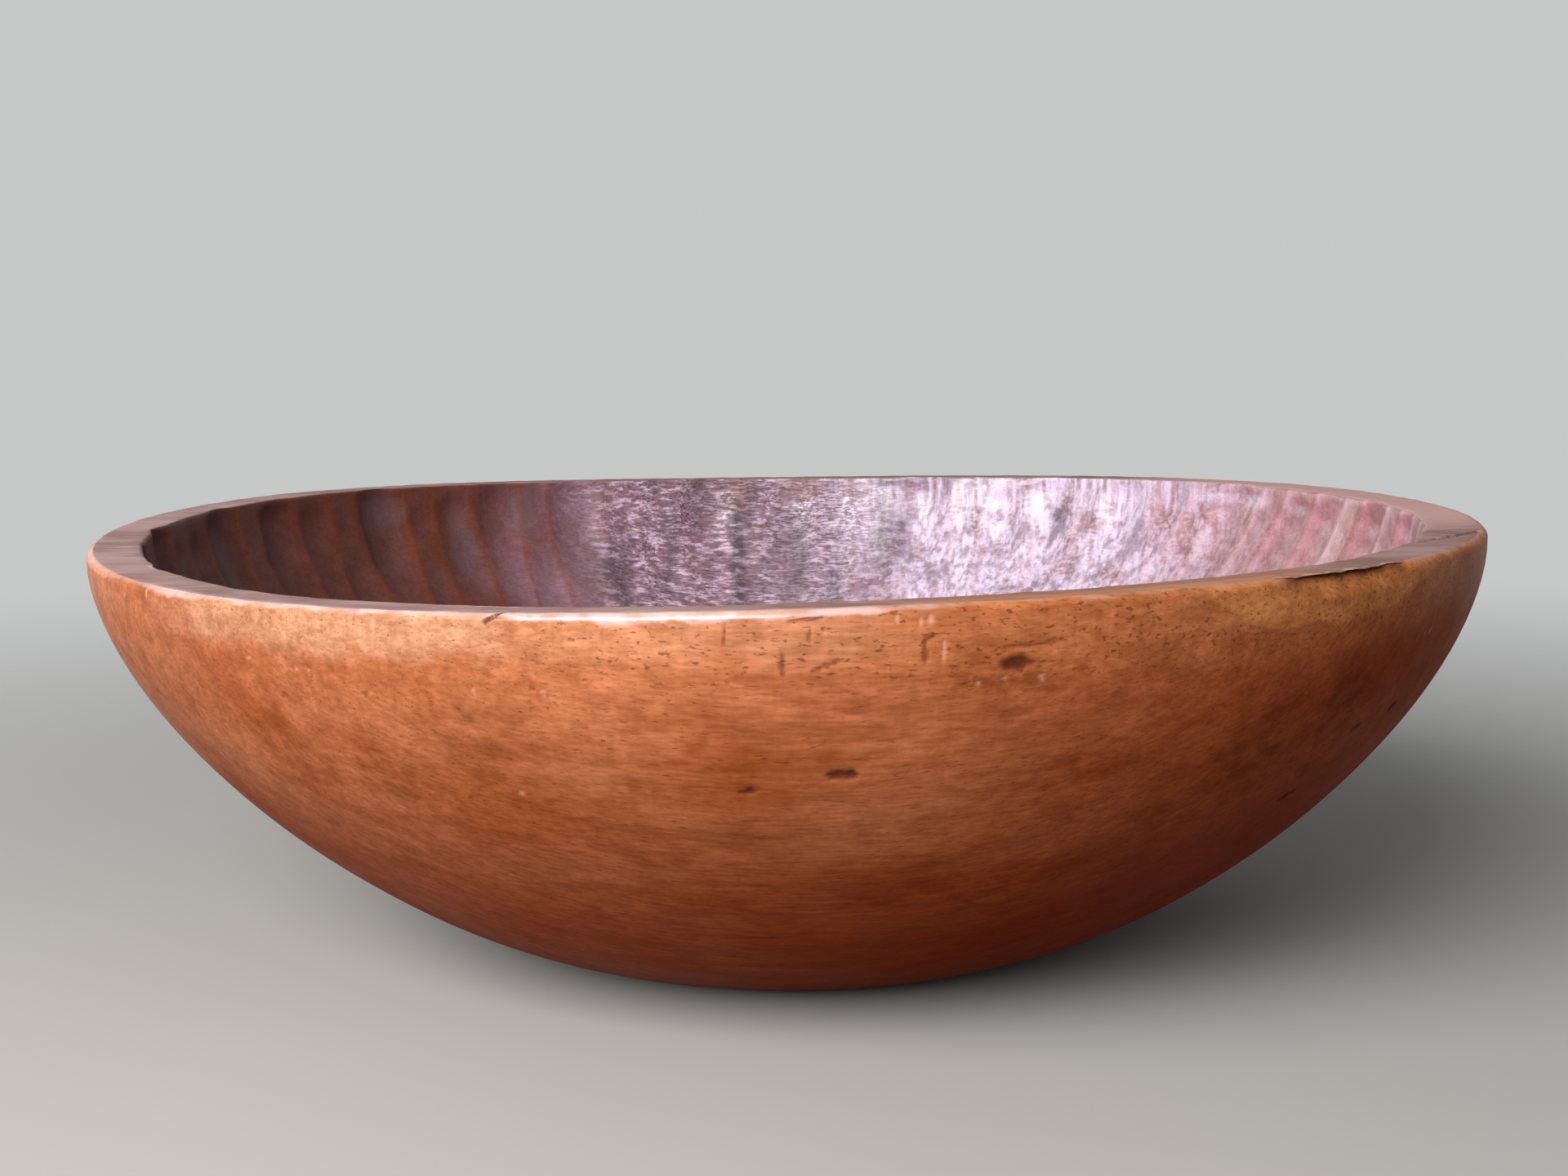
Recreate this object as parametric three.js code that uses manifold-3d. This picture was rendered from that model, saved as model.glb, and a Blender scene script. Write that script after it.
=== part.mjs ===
// A large hand-carved salad bowl: one block of wood, hewn round outside and hollowed with a gouge.
// Millimetres, +Z up. The origin is the middle of the foot, on the surface that the bowl stands on.
// The grain of the wood runs along X, so the walls at +X and -X are end grain.

import * as THREE from 'three';
import { mergeVertices } from 'three/addons/utils/BufferGeometryUtils.js';
import Module from 'manifold-3d';

// Outside: a flat foot, then one sweep up to a nearly upright rim
const RIM_DIAMETER = 460;
const HEIGHT = 142;
const FOOT_DIAMETER = 150;
const FOOT_RISE = 8; // degrees above level where the underside leaves the foot
const FOOT_SWEEP = 72; // how strongly the curve keeps that direction
const WALL_LEAN = 89.5; // degrees above level where the wall reaches the rim
const WALL_SWEEP = 50; // how strongly the curve keeps that direction
const RIM_ROUNDING = 3; // radius of the rim's outer edge

// Hollow: a dished floor that turns up into the wall
const RIM_WALL = 17;
const FLOOR_THICKNESS = 22;
const FLOOR_SWEEP = 110; // how strongly the hollow stays level from its middle
const MOUTH_LEAN = 86; // degrees above level where the hollow reaches the rim
const MOUTH_SWEEP = 62; // how strongly the hollow keeps that direction

// Gouge strokes: flutes that run down the wall of the hollow, each cut in short strokes
const FLUTE_WIDTH = 19; // at the rim
const GOUGE_RADIUS = 27; // radius of the gouge's edge, which sets how deep a flute of any width is
const GOUGED_LENGTH = 160; // how far down from the rim the flutes reach
const STROKE_LENGTH = 40;
const STROKE_END_DEPTH = 0.5; // share of the depth left where one stroke runs into the next
const FLUTE_WANDER = 3; // how far a ridge strays sideways
const STROKE_WANDER = 6; // how far the end of a stroke strays along its flute
const STROKE_UNEVENNESS = 0.3; // share by which the depth of a stroke strays

// Work done by eye: amounts at the rim, and the side where each is greatest, from +X towards +Y
const RIM_TILT = 2.5;
const RIM_TILT_SIDE = -32;
const RIM_SAG = 1.9;
const RIM_SAG_SIDE = -26;
const RIM_RIPPLE = 1.2;
const RIM_RIPPLE_SIDE = 37;
const OVALNESS = 1.9;
const OVALNESS_SIDE = 21;
const THREE_SIDEDNESS = 2.1;
const THREE_SIDEDNESS_SIDE = 60;
const END_GRAIN_GAIN = 2.7; // extra wall left at both ends of the grain
const THICK_END_GAIN = 1.5; // and at the +X end over the -X end

// Facets
const BLANK_COLUMNS = 96;
const WALL_ROWS = 12;
const ROUNDING_ROWS = 3;
const FLOOR_ROWS = 4;
const FACETS_PER_FLUTE = 4;
const CUT_ABOVE_RIM = 12; // how far the hollow's cutter stands above the rim

const WOOD = new THREE.MeshStandardMaterial({ color: 0x9c5a2e, roughness: 0.45, metalness: 0 });

const RIM_RADIUS = RIM_DIAMETER / 2;
const MOUTH_RADIUS = RIM_RADIUS - RIM_WALL;

const radians = THREE.MathUtils.degToRad;

function pointToward(from, degrees, distance) {
  const angle = radians(degrees);
  return new THREE.Vector2(from.x + distance * Math.cos(angle), from.y + distance * Math.sin(angle));
}

// A once, twice or three times repeated rise and fall around the bowl
function lobes(turn, count, amount, side) {
  return amount * Math.cos(count * (turn - radians(side)));
}

function rimLift(turn) {
  return lobes(turn, 1, RIM_TILT, RIM_TILT_SIDE)
    + lobes(turn, 2, RIM_SAG, RIM_SAG_SIDE)
    + lobes(turn, 3, RIM_RIPPLE, RIM_RIPPLE_SIDE);
}

function planBulge(turn) {
  return lobes(turn, 2, OVALNESS, OVALNESS_SIDE)
    + lobes(turn, 3, THREE_SIDEDNESS, THREE_SIDEDNESS_SIDE);
}

function wallGain(turn) {
  return lobes(turn, 2, END_GRAIN_GAIN, 0) + lobes(turn, 1, THICK_END_GAIN, 0);
}

// Where a point of the true round form ends up on the hand-worked one: the foot stays flat and round,
// and the unevenness grows towards the rim
function handWorked(radius, height, turn) {
  const up = height / HEIGHT;
  const out = radius / RIM_RADIUS;
  const worked = radius + planBulge(turn) * up * out;
  return new THREE.Vector3(
    worked * Math.cos(turn),
    worked * Math.sin(turn),
    height + rimLift(turn) * up * out,
  );
}

// A stray value between -1 and 1, the same each time: neighbours differ, and it drifts along a flute
function stray(flute, row) {
  return Math.sin(2.4 * flute + 0.4 * row);
}

// A profile turned around the Z axis, with each corner then placed by column and row
function revolved(profile, columns, place) {
  const geometry = new THREE.LatheGeometry(profile, columns);
  const position = geometry.getAttribute('position');
  for (let corner = 0; corner < position.count; corner += 1) {
    const row = corner % profile.length;
    const column = Math.floor(corner / profile.length) % columns;
    const placed = place(column, row);
    position.setXYZ(corner, placed.x, placed.y, placed.z);
  }
  return geometry;
}

// The block after the outside is hewn, still full to the brim
function blankGeometry() {
  const footEdge = new THREE.Vector2(FOOT_DIAMETER / 2, 0);
  const rimEdge = new THREE.Vector2(RIM_RADIUS, HEIGHT - RIM_ROUNDING);
  const sweep = new THREE.CubicBezierCurve(
    footEdge,
    pointToward(footEdge, FOOT_RISE, FOOT_SWEEP),
    pointToward(rimEdge, WALL_LEAN, -WALL_SWEEP),
    rimEdge,
  );
  const rounding = new THREE.EllipseCurve(
    RIM_RADIUS - RIM_ROUNDING, HEIGHT - RIM_ROUNDING, RIM_ROUNDING, RIM_ROUNDING, 0, Math.PI / 2,
  );
  const profile = [
    new THREE.Vector2(0, 0),
    ...sweep.getSpacedPoints(WALL_ROWS),
    ...rounding.getSpacedPoints(ROUNDING_ROWS).slice(1),
    new THREE.Vector2(0, HEIGHT),
  ];
  return revolved(profile, BLANK_COLUMNS, (column, row) => {
    const turn = (column / BLANK_COLUMNS) * 2 * Math.PI;
    return handWorked(profile[row].x, profile[row].y, turn);
  });
}

// What the gouge takes out: the dished hollow with its flutes, carried on above the rim
function hollowGeometry() {
  const middle = new THREE.Vector2(0, FLOOR_THICKNESS);
  const mouth = new THREE.Vector2(MOUTH_RADIUS, HEIGHT);
  const brim = pointToward(mouth, MOUTH_LEAN, CUT_ABOVE_RIM);
  const sweep = new THREE.CubicBezierCurve(
    middle,
    pointToward(middle, 0, FLOOR_SWEEP),
    pointToward(mouth, MOUTH_LEAN, -MOUTH_SWEEP),
    mouth,
  );
  const length = sweep.getLength();
  const floorLength = length - GOUGED_LENGTH;
  const strokeRows = 2 * Math.round(GOUGED_LENGTH / STROKE_LENGTH);
  const halfStroke = GOUGED_LENGTH / strokeRows;
  const flutes = Math.round((2 * Math.PI * MOUTH_RADIUS) / FLUTE_WIDTH);
  const columns = flutes * FACETS_PER_FLUTE;

  // Distances along the sweep: the smooth floor, then the ends and the middles of the strokes by turns
  const distances = [];
  for (let row = 0; row <= FLOOR_ROWS; row += 1) {
    distances.push((row / FLOOR_ROWS) * floorLength);
  }
  for (let row = 1; row < strokeRows; row += 1) {
    distances.push(floorLength + row * halfStroke);
  }
  const profile = distances.map((distance) => sweep.getPointAt(distance / length));
  profile.push(brim, new THREE.Vector2(0, brim.y));

  // The thicker walls at the ends of the grain are left by hollowing less there
  function hollowed(radius, height, turn) {
    const inset = wallGain(turn) * (height / HEIGHT) * (radius / MOUTH_RADIUS);
    return handWorked(radius - inset, height, turn);
  }

  return revolved(profile, columns, (column, row) => {
    const turn = (column / columns) * 2 * Math.PI;
    const strokeRow = row - FLOOR_ROWS;
    if (strokeRow <= 0 || row >= distances.length) {
      return hollowed(profile[row].x, profile[row].y, turn);
    }
    const flute = Math.floor(column / FACETS_PER_FLUTE);
    const across = (column % FACETS_PER_FLUTE) / FACETS_PER_FLUTE;
    const endOfStroke = strokeRow % 2 === 0;

    const along = endOfStroke ? STROKE_WANDER * stray(flute, strokeRow) : 0;
    const share = (distances[row] + along) / length;
    const point = sweep.getPointAt(share);
    const heading = sweep.getTangentAt(share);

    const ridge = FLUTE_WANDER * stray(flute, strokeRow);
    const nextRidge = FLUTE_WANDER * stray((flute + 1) % flutes, strokeRow);
    const sideways = THREE.MathUtils.lerp(ridge, nextRidge, across) / MOUTH_RADIUS;

    const width = (2 * Math.PI * point.x) / flutes + nextRidge - ridge;
    const fullDepth = (width ** 2 / (8 * GOUGE_RADIUS)) * (1 + STROKE_UNEVENNESS * stray(flute, -strokeRow));
    const depth = fullDepth * (endOfStroke ? STROKE_END_DEPTH : 1) * 4 * across * (1 - across);
    return hollowed(point.x + depth * heading.y, point.y - depth * heading.x, turn + sideways);
  });
}

const wasm = await Module();
wasm.setup();

function solidOf(geometry) {
  geometry.deleteAttribute('normal');
  geometry.deleteAttribute('uv');
  const merged = mergeVertices(geometry);
  const solid = new wasm.Mesh({
    numProp: 3,
    vertProperties: merged.getAttribute('position').array,
    triVerts: new Uint32Array(merged.getIndex().array),
  });
  return new wasm.Manifold(solid);
}

function geometryOf(solid) {
  const mesh = solid.getMesh();
  const geometry = new THREE.BufferGeometry();
  geometry.setAttribute('position', new THREE.BufferAttribute(mesh.vertProperties, mesh.numProp));
  geometry.setIndex(new THREE.BufferAttribute(mesh.triVerts, 1));
  geometry.computeVertexNormals();
  return geometry;
}

const bowl = new THREE.Mesh(geometryOf(solidOf(blankGeometry()).subtract(solidOf(hollowGeometry()))), WOOD);
bowl.name = 'bowl';

const saladBowl = new THREE.Group();
saladBowl.add(bowl);

export default saladBowl;
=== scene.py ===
# %% [markdown]
# # A hand-carved salad bowl
#
# The real bowl is a single block of wood. Its maker hewed the outside round, hollowed the inside with
# a gouge and left the gouge marks showing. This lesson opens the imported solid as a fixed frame, models
# one finer bowl in the same place, and then gives it the three finishes that years of use have left: a
# polished orange-brown outside, a dry worn rim and a dark waxed hollow.

# %% Open the frame
import math

import bmesh
import bpy
from mathutils import Matrix, Vector, geometry, kdtree, noise


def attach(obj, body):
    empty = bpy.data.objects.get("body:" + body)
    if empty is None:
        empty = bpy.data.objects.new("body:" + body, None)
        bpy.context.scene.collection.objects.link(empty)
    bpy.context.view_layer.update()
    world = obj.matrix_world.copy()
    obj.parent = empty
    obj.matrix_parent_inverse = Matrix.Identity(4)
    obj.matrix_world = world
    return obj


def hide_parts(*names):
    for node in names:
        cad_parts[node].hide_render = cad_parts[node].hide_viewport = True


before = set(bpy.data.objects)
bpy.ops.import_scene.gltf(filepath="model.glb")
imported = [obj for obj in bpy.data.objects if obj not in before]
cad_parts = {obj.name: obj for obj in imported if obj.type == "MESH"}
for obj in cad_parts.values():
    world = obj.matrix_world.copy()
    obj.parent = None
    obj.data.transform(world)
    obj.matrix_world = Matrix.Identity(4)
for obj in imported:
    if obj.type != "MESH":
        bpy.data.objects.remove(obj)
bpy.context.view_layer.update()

# %% [markdown]
# ## The camera
#
# The bowl was seen from the height of a low chair, almost level with its rim, so that only the far wall
# of the hollow shows. A short lens held close would swell the near rim. A lens of about 50 mm from
# three quarters of a metre gives the flat, wide ellipse that the rim makes.

# %% Camera
EYE = Vector((-0.003, -0.783, 0.2213))
DOWNWARD_TILT = math.radians(7.5)
SIDEWAYS_LEAN = math.radians(-0.35)
LENS = 52.5
SENSOR_WIDTH = 36


def linked(name, data):
    """A new object with this data, shown in the scene."""
    made = bpy.data.objects.new(name, data)
    bpy.context.scene.collection.objects.link(made)
    return made


camera_data = bpy.data.cameras.new("low_camera")
camera_data.lens = LENS
camera_data.sensor_fit = 'HORIZONTAL'
camera_data.sensor_width = SENSOR_WIDTH
camera = linked("low_camera", camera_data)
looking_level = Matrix.Rotation(math.pi / 2 - DOWNWARD_TILT, 4, 'X')
camera.matrix_world = Matrix.Translation(EYE) @ looking_level @ Matrix.Rotation(SIDEWAYS_LEAN, 4, 'Z')
bpy.context.scene.camera = camera
print("camera stands", round(EYE.length, 3), "m from the foot")

# %% [markdown]
# ## The profile
#
# Half of the bowl, cut through the middle, is one line: out along the flat foot, up the outside, over
# the rim and down the hollow to the middle of the floor. The two long stretches are single Bezier
# curves, because a carver's curve has no straight parts, and the rim gets two small arcs, a wide one
# outside where hands have worn it and a tight one inside. Every value is a real size in metres.

# %% Profile of the bowl
RIM_RADIUS = 0.230
HEIGHT = 0.142
FOOT_RADIUS = 0.075
FOOT_RISE = 8
FOOT_SWEEP = 0.072
WALL_LEAN = 89.5
WALL_SWEEP = 0.050
RIM_ROUNDING = 0.003
RIM_WALL = 0.017
RIM_EASING = 0.0015
FLOOR_THICKNESS = 0.022
FLOOR_SWEEP = 0.110
MOUTH_LEAN = 86
MOUTH_SWEEP = 0.062
MOUTH_RADIUS = RIM_RADIUS - RIM_WALL

FOOT_ROWS = 3
WALL_ROWS = 40
ROUNDING_ROWS = 6
TOP_ROWS = 6
EASING_ROWS = 3
HOLLOW_ROWS = 100


def toward(point, degrees, distance):
    angle = math.radians(degrees)
    return point + distance * Vector((math.cos(angle), 0, math.sin(angle)))


def line(start, end, rows):
    return [start.lerp(end, row / rows) for row in range(rows + 1)]


def arc(centre, radius, from_degrees, to_degrees, rows):
    step = (to_degrees - from_degrees) / rows
    return [toward(centre, from_degrees + step * row, radius) for row in range(rows + 1)]


foot_edge = Vector((FOOT_RADIUS, 0, 0))
wall_top = Vector((RIM_RADIUS, 0, HEIGHT - RIM_ROUNDING))
mouth_top = Vector((MOUTH_RADIUS, 0, HEIGHT - RIM_EASING))
floor_middle = Vector((0, 0, FLOOR_THICKNESS))
rounding_centre = Vector((RIM_RADIUS - RIM_ROUNDING, 0, HEIGHT - RIM_ROUNDING))
easing_centre = Vector((MOUTH_RADIUS + RIM_EASING, 0, HEIGHT - RIM_EASING))

foot = line(Vector((0, 0, 0)), foot_edge, FOOT_ROWS)
outside = geometry.interpolate_bezier(
    foot_edge, toward(foot_edge, FOOT_RISE, FOOT_SWEEP), toward(wall_top, WALL_LEAN, -WALL_SWEEP),
    wall_top, WALL_ROWS)
rounding = arc(rounding_centre, RIM_ROUNDING, 0, 90, ROUNDING_ROWS)
easing = arc(easing_centre, RIM_EASING, 90, 180, EASING_ROWS)
rim_top = line(rounding[-1], easing[0], TOP_ROWS)
hollow = geometry.interpolate_bezier(
    mouth_top, toward(mouth_top, MOUTH_LEAN, -MOUTH_SWEEP), toward(floor_middle, 0, FLOOR_SWEEP),
    floor_middle, HOLLOW_ROWS)
profile = foot + outside[1:] + rounding[1:] + rim_top[1:] + easing[1:] + hollow[1:]
print("profile has", len(profile), "points")

# %% [markdown]
# ## The turned bowl
#
# A lathe could have made the plain form, so it is spun: the profile becomes a chain of edges, and the
# spin operator sweeps it once round the upright axis. The number of columns is a multiple of the number
# of gouge flutes, so that later every ridge between two flutes lies on a column and stays crisp. Two
# values ride along on each vertex: how far it lies below the rim, and how far it lies towards the hollow.

# %% Spin the profile
FLUTE_WIDTH = 0.019
FLUTES = round(2 * math.pi * MOUTH_RADIUS / FLUTE_WIDTH)
FACETS_PER_FLUTE = 7
COLUMNS = FLUTES * FACETS_PER_FLUTE
WELD = 1e-6

along = [0.0]
for previous, point in zip(profile, profile[1:]):
    along.append(along[-1] + (point - previous).length)
outer_edge = along[FOOT_ROWS + WALL_ROWS - 1]
inner_edge = along[-HOLLOW_ROWS]

bowl_mesh = bmesh.new()


def new_layer(name):
    """A number on each vertex, which the finishes can read by this name."""
    return bowl_mesh.verts.layers.float.new(name)


down_layer = new_layer("down")
hollow_layer = new_layer("hollow")
chain = []
for point, distance in zip(profile, along):
    vertex = bowl_mesh.verts.new(point)
    vertex[down_layer] = max(0.0, outer_edge - distance, distance - inner_edge)
    vertex[hollow_layer] = min(max((distance - outer_edge) / (inner_edge - outer_edge), 0.0), 1.0)
    chain.append(vertex)
for lower, upper in zip(chain, chain[1:]):
    bowl_mesh.edges.new((lower, upper))
bmesh.ops.spin(
    bowl_mesh, geom=bowl_mesh.verts[:] + bowl_mesh.edges[:], cent=(0, 0, 0), axis=(0, 0, 1),
    angle=2 * math.pi, steps=COLUMNS, use_merge=True)
bmesh.ops.remove_doubles(bowl_mesh, verts=bowl_mesh.verts, dist=WELD)
bmesh.ops.recalc_face_normals(bowl_mesh, faces=bowl_mesh.faces)
print("turned bowl has", len(bowl_mesh.faces), "faces in", COLUMNS, "columns for", FLUTES, "flutes")

# %% [markdown]
# ## The gouge strokes
#
# The hollow was cut with a broad gouge pushed down the wall. Each push leaves a scoop with a round top
# and a shallow end, and the next push starts where it stopped, so a flute is a chain of scoops with
# ridges on both sides. At the thick end the pushes slant. One scoop is a little dome of depth: full in
# its middle, nothing on its ridges and ends. Where two scoops overlap the deeper one wins, which leaves
# the curved steps that a gouge leaves. In the end grain at the two ends of the bowl, and most at the
# thick end, the blade also chattered, so small waves run down those flutes. A gouge of one radius cuts
# a narrow flute less deep, so the flutes fade by themselves as they crowd together towards the floor,
# where shallow dimples take over.

# %% Sizes of the gouge strokes
GOUGE_RADIUS = 0.027
GOUGED_LENGTH = 0.160
STROKE_LENGTH = 0.029
STROKE_LAP = 0.008
STROKE_WANDER = 0.012
STROKE_UNEVENNESS = 0.3
FIRST_START = 0.006
FIRST_SHARE = 0.3
ENTRY_RUN = 0.010
EXIT_RUN = 0.014
FLUTE_WANDER = 0.003
FLUTE_WAVER = 0.0011
WAVER_LENGTH = 0.014
FLUTE_SLANT = 0.42
SLANT_REACH = 0.045
SLANT_SIDE = 15
HALF_STROKE = 0.020
BRINK_START = 0.8
CHATTER_LENGTH = 0.0085
CHATTER_TURNS = 63
CHATTER_DEPTH = 0.00035
FAR_CHATTER = 0.3
SCOOP_END = 0.7
VALLEY_SHADE_MEAN = 0.6
VALLEY_SHADE_SWING = 0.4
DIMPLE_SIZE = 0.026
DIMPLE_DEPTH = 0.0006

# Steps and places in the waves that the stray values are read from
STRAY_PER_FLUTE = 2.4
STRAY_PER_PLACE = 0.4
WAVER_PER_FLUTE = 1.7
WANDER_PER_STROKE = 5.3
STRENGTH_PER_STROKE = 7.7
STRENGTH_SHIFT = 31
FIRST_PLACE = 7
VALLEY_SHADE_PER_FLUTE = 7.7

# Values between which something fades
SLANT_FADE = (0.72, 0.95)
END_GRAIN_FADE = (0.45, 0.9)
FLUTE_FADE = (0.8 * GOUGED_LENGTH, GOUGED_LENGTH)
SCOOP_END_FADE = (0.35, 0.9)

STROKES = round(GOUGED_LENGTH / STROKE_LENGTH) + 1
print("each flute is cut in up to", STROKES, "strokes")

# %% Shape of a stroke


def ease(value, low, high):
    share = min(max((value - low) / (high - low), 0.0), 1.0)
    return share * share * (3 - 2 * share)


def stray(flute, place):
    """A value from -1 to 1 that differs between neighbours and drifts along a flute."""
    return math.sin(STRAY_PER_FLUTE * flute + STRAY_PER_PLACE * place)


def ridge_shift(flute, down):
    """How far the ridge before this flute strays sideways at this distance down the wall."""
    wander = FLUTE_WANDER * stray(flute, (GOUGED_LENGTH - down) / HALF_STROKE)
    wander += FLUTE_WAVER * noise.noise(Vector((WAVER_PER_FLUTE * flute, down / WAVER_LENGTH, 0)))
    off_slant = 2 * math.pi * flute / FLUTES - math.radians(SLANT_SIDE)
    slanted = SLANT_REACH * math.sin(min(down / SLANT_REACH, math.pi / 2))
    return wander + FLUTE_SLANT * slanted * ease(math.cos(off_slant), *SLANT_FADE)


def deepest_scoop(flute, across, down):
    """The share of a full cut at this place, by the deepest of the flute's strokes."""
    deepest = 0.0
    for stroke in range(STROKES):
        wander = STROKE_WANDER * stray(flute, WANDER_PER_STROKE * stroke)
        start = stroke * STROKE_LENGTH - STROKE_LAP + wander
        if stroke == 0:
            start = FIRST_START * (FIRST_SHARE + stray(flute, FIRST_PLACE))
        end = (stroke + 1) * STROKE_LENGTH + wander
        entry = max(0.0, (start + ENTRY_RUN - down) / ENTRY_RUN)
        leaving = max(0.0, (down - end + EXIT_RUN) / EXIT_RUN)
        unevenness = STROKE_UNEVENNESS * stray(flute + STRENGTH_SHIFT, STRENGTH_PER_STROKE * stroke)
        cut = (1 + unevenness) * (1 - across * across - entry * entry - leaving * leaving)
        deepest = max(deepest, cut)
    return deepest


print("ridges slant sideways by up to", round(1000 * FLUTE_SLANT * SLANT_REACH), "mm")

# %% Cut the flutes
ridge_layer = new_layer("ridge")
crest_layer = new_layer("crest")
valley_shade_layer = new_layer("valley_shade")
flank_shading_layer = new_layer("flank_shading")

bowl_mesh.normal_update()
for vertex in bowl_mesh.verts:
    down = vertex[down_layer]
    brink = ease(vertex[hollow_layer], BRINK_START, 1)
    if brink == 0:
        continue
    turn = math.atan2(vertex.co.y, vertex.co.x) % (2 * math.pi)
    radius = math.hypot(vertex.co.x, vertex.co.y)
    column = round(turn / (2 * math.pi) * COLUMNS) % COLUMNS
    flute = column // FACETS_PER_FLUTE
    share = (column % FACETS_PER_FLUTE) / FACETS_PER_FLUTE
    gouged = brink * (1 - ease(down, *FLUTE_FADE))

    this_shift = ridge_shift(flute, down)
    next_shift = ridge_shift((flute + 1) % FLUTES, down)
    shift = gouged * (this_shift + (next_shift - this_shift) * share) / MOUTH_RADIUS
    width = 2 * math.pi * radius / FLUTES + next_shift - this_shift

    across = 2 * share - 1
    cut = deepest_scoop(flute, across, down)
    far_grain = FAR_CHATTER * ease(-math.cos(turn), *END_GRAIN_FADE)
    end_grain = ease(math.cos(turn), *END_GRAIN_FADE) + far_grain
    wave = math.sin(2 * math.pi * down / CHATTER_LENGTH + CHATTER_TURNS * turn + stray(flute, 1))
    depth = gouged * cut * (width * width / (8 * GOUGE_RADIUS) + CHATTER_DEPTH * end_grain * wave)
    nearest = noise.voronoi(vertex.co / DIMPLE_SIZE)[0][0]
    depth += (brink - gouged) * DIMPLE_DEPTH * max(0.0, 1 - nearest * nearest)
    into_wood = Vector((vertex.co.x, vertex.co.y, 0)) / radius if down == 0 else -vertex.normal
    vertex.co = Matrix.Rotation(shift, 3, 'Z') @ (vertex.co + into_wood * depth)
    vertex[ridge_layer] = gouged * max(across ** 4, SCOOP_END * ease(1 - cut, *SCOOP_END_FADE))
    # The crest and flank values let the hollow's finish paint light and shade: chatter troughs darker and
    # crests paler, one flank of each flute paler and the other darker
    vertex[crest_layer] = 0.5 - 0.5 * gouged * end_grain * wave
    vertex[flank_shading_layer] = 0.5 + 0.5 * gouged * across
    # The valley value paints the middle of each flute darker, more on some flutes, as painted shade
    shadiness = VALLEY_SHADE_MEAN + VALLEY_SHADE_SWING * math.sin(VALLEY_SHADE_PER_FLUTE * flute + down / HALF_STROKE)
    vertex[valley_shade_layer] = gouged * (1 - across * across) ** 2 * shadiness
print("flutes are cut up to", round(1000 * FLUTE_WIDTH ** 2 / (8 * GOUGE_RADIUS), 2), "mm deep")

# %% [markdown]
# ## Worked by eye
#
# Nothing on this bowl is truly round or level. The rim rides higher on one side and dips at the back,
# the plan is slightly oval, and the walls at the two ends of the grain were left thicker, because end
# grain splits. Each of these is a slow wave around the bowl with one, two or three crests, and all of
# them fade towards the flat foot. A little soft noise then takes the machine look off the surfaces.

# %% Waves around the bowl
RIM_TILT = 0.0025
RIM_TILT_SIDE = -32
RIM_SAG = 0.0019
RIM_SAG_SIDE = -26
RIM_RIPPLE = 0.0012
RIM_RIPPLE_SIDE = 37
OVALNESS = 0.0019
OVALNESS_SIDE = 21
THREE_SIDEDNESS = 0.0021
THREE_SIDEDNESS_SIDE = 60
END_GRAIN_GAIN = 0.0027
THICK_END_GAIN = 0.0015


def lobes(turn, count, amount, side):
    return amount * math.cos(count * (turn - math.radians(side)))


def rim_lift(turn):
    return (lobes(turn, 1, RIM_TILT, RIM_TILT_SIDE) + lobes(turn, 2, RIM_SAG, RIM_SAG_SIDE)
            + lobes(turn, 3, RIM_RIPPLE, RIM_RIPPLE_SIDE))


def plan_bulge(turn):
    return lobes(turn, 2, OVALNESS, OVALNESS_SIDE) + lobes(turn, 3, THREE_SIDEDNESS, THREE_SIDEDNESS_SIDE)


def wall_gain(turn):
    return lobes(turn, 2, END_GRAIN_GAIN, 0) + lobes(turn, 1, THICK_END_GAIN, 0)


def hand_worked(place, hollow_share):
    turn = math.atan2(place.y, place.x)
    radius = math.hypot(place.x, place.y)
    up = place.z / HEIGHT
    radius -= hollow_share * wall_gain(turn) * up * radius / MOUTH_RADIUS
    out = radius / RIM_RADIUS
    worked = radius + plan_bulge(turn) * up * out
    return Vector((worked * math.cos(turn), worked * math.sin(turn), place.z + rim_lift(turn) * up * out))


print("rim rises and falls by", round(1000 * (RIM_TILT + RIM_SAG + RIM_RIPPLE), 1), "mm at most")

# %% Make it uneven
HEWN_WAVE = 0.045
HEWN_DEPTH = 0.00045
HEWN_SWING = 0.4
WORN_WAVE = 0.007
WORN_DEPTH = 0.00035
WORN_SWING = 0.5
WORN_REACH = 0.006
FOOT_CLEAR = 0.02

for vertex in bowl_mesh.verts:
    vertex.co = hand_worked(vertex.co, vertex[hollow_layer])
bowl_mesh.normal_update()
for vertex in bowl_mesh.verts:
    above_foot = ease(vertex.co.z, 0, FOOT_CLEAR)
    hewn = HEWN_DEPTH * (0.5 + HEWN_SWING * noise.noise(vertex.co / HEWN_WAVE))
    near_rim = 1 - ease(vertex[down_layer], 0, WORN_REACH)
    worn = WORN_DEPTH * near_rim * (0.5 + WORN_SWING * noise.noise(vertex.co / WORN_WAVE))
    vertex.co -= vertex.normal * above_foot * (hewn + worn)
print("bowl is now", round(max(vertex.co.z for vertex in bowl_mesh.verts), 4), "m high")

# %% [markdown]
# ## Chips, scratches and a torn lip
#
# Years of use have left small dark chips on the outside, scratches, pale flecks where the lacquer is
# knocked off, a nick across the front edge, a drying crack in the thick end of the rim and a torn lip
# beside it. All are smaller than the faces of the bowl, so the faces around them are first split with the
# subdivide operator, all at once, and their neighbours, which then have many corners, become triangles.

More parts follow.
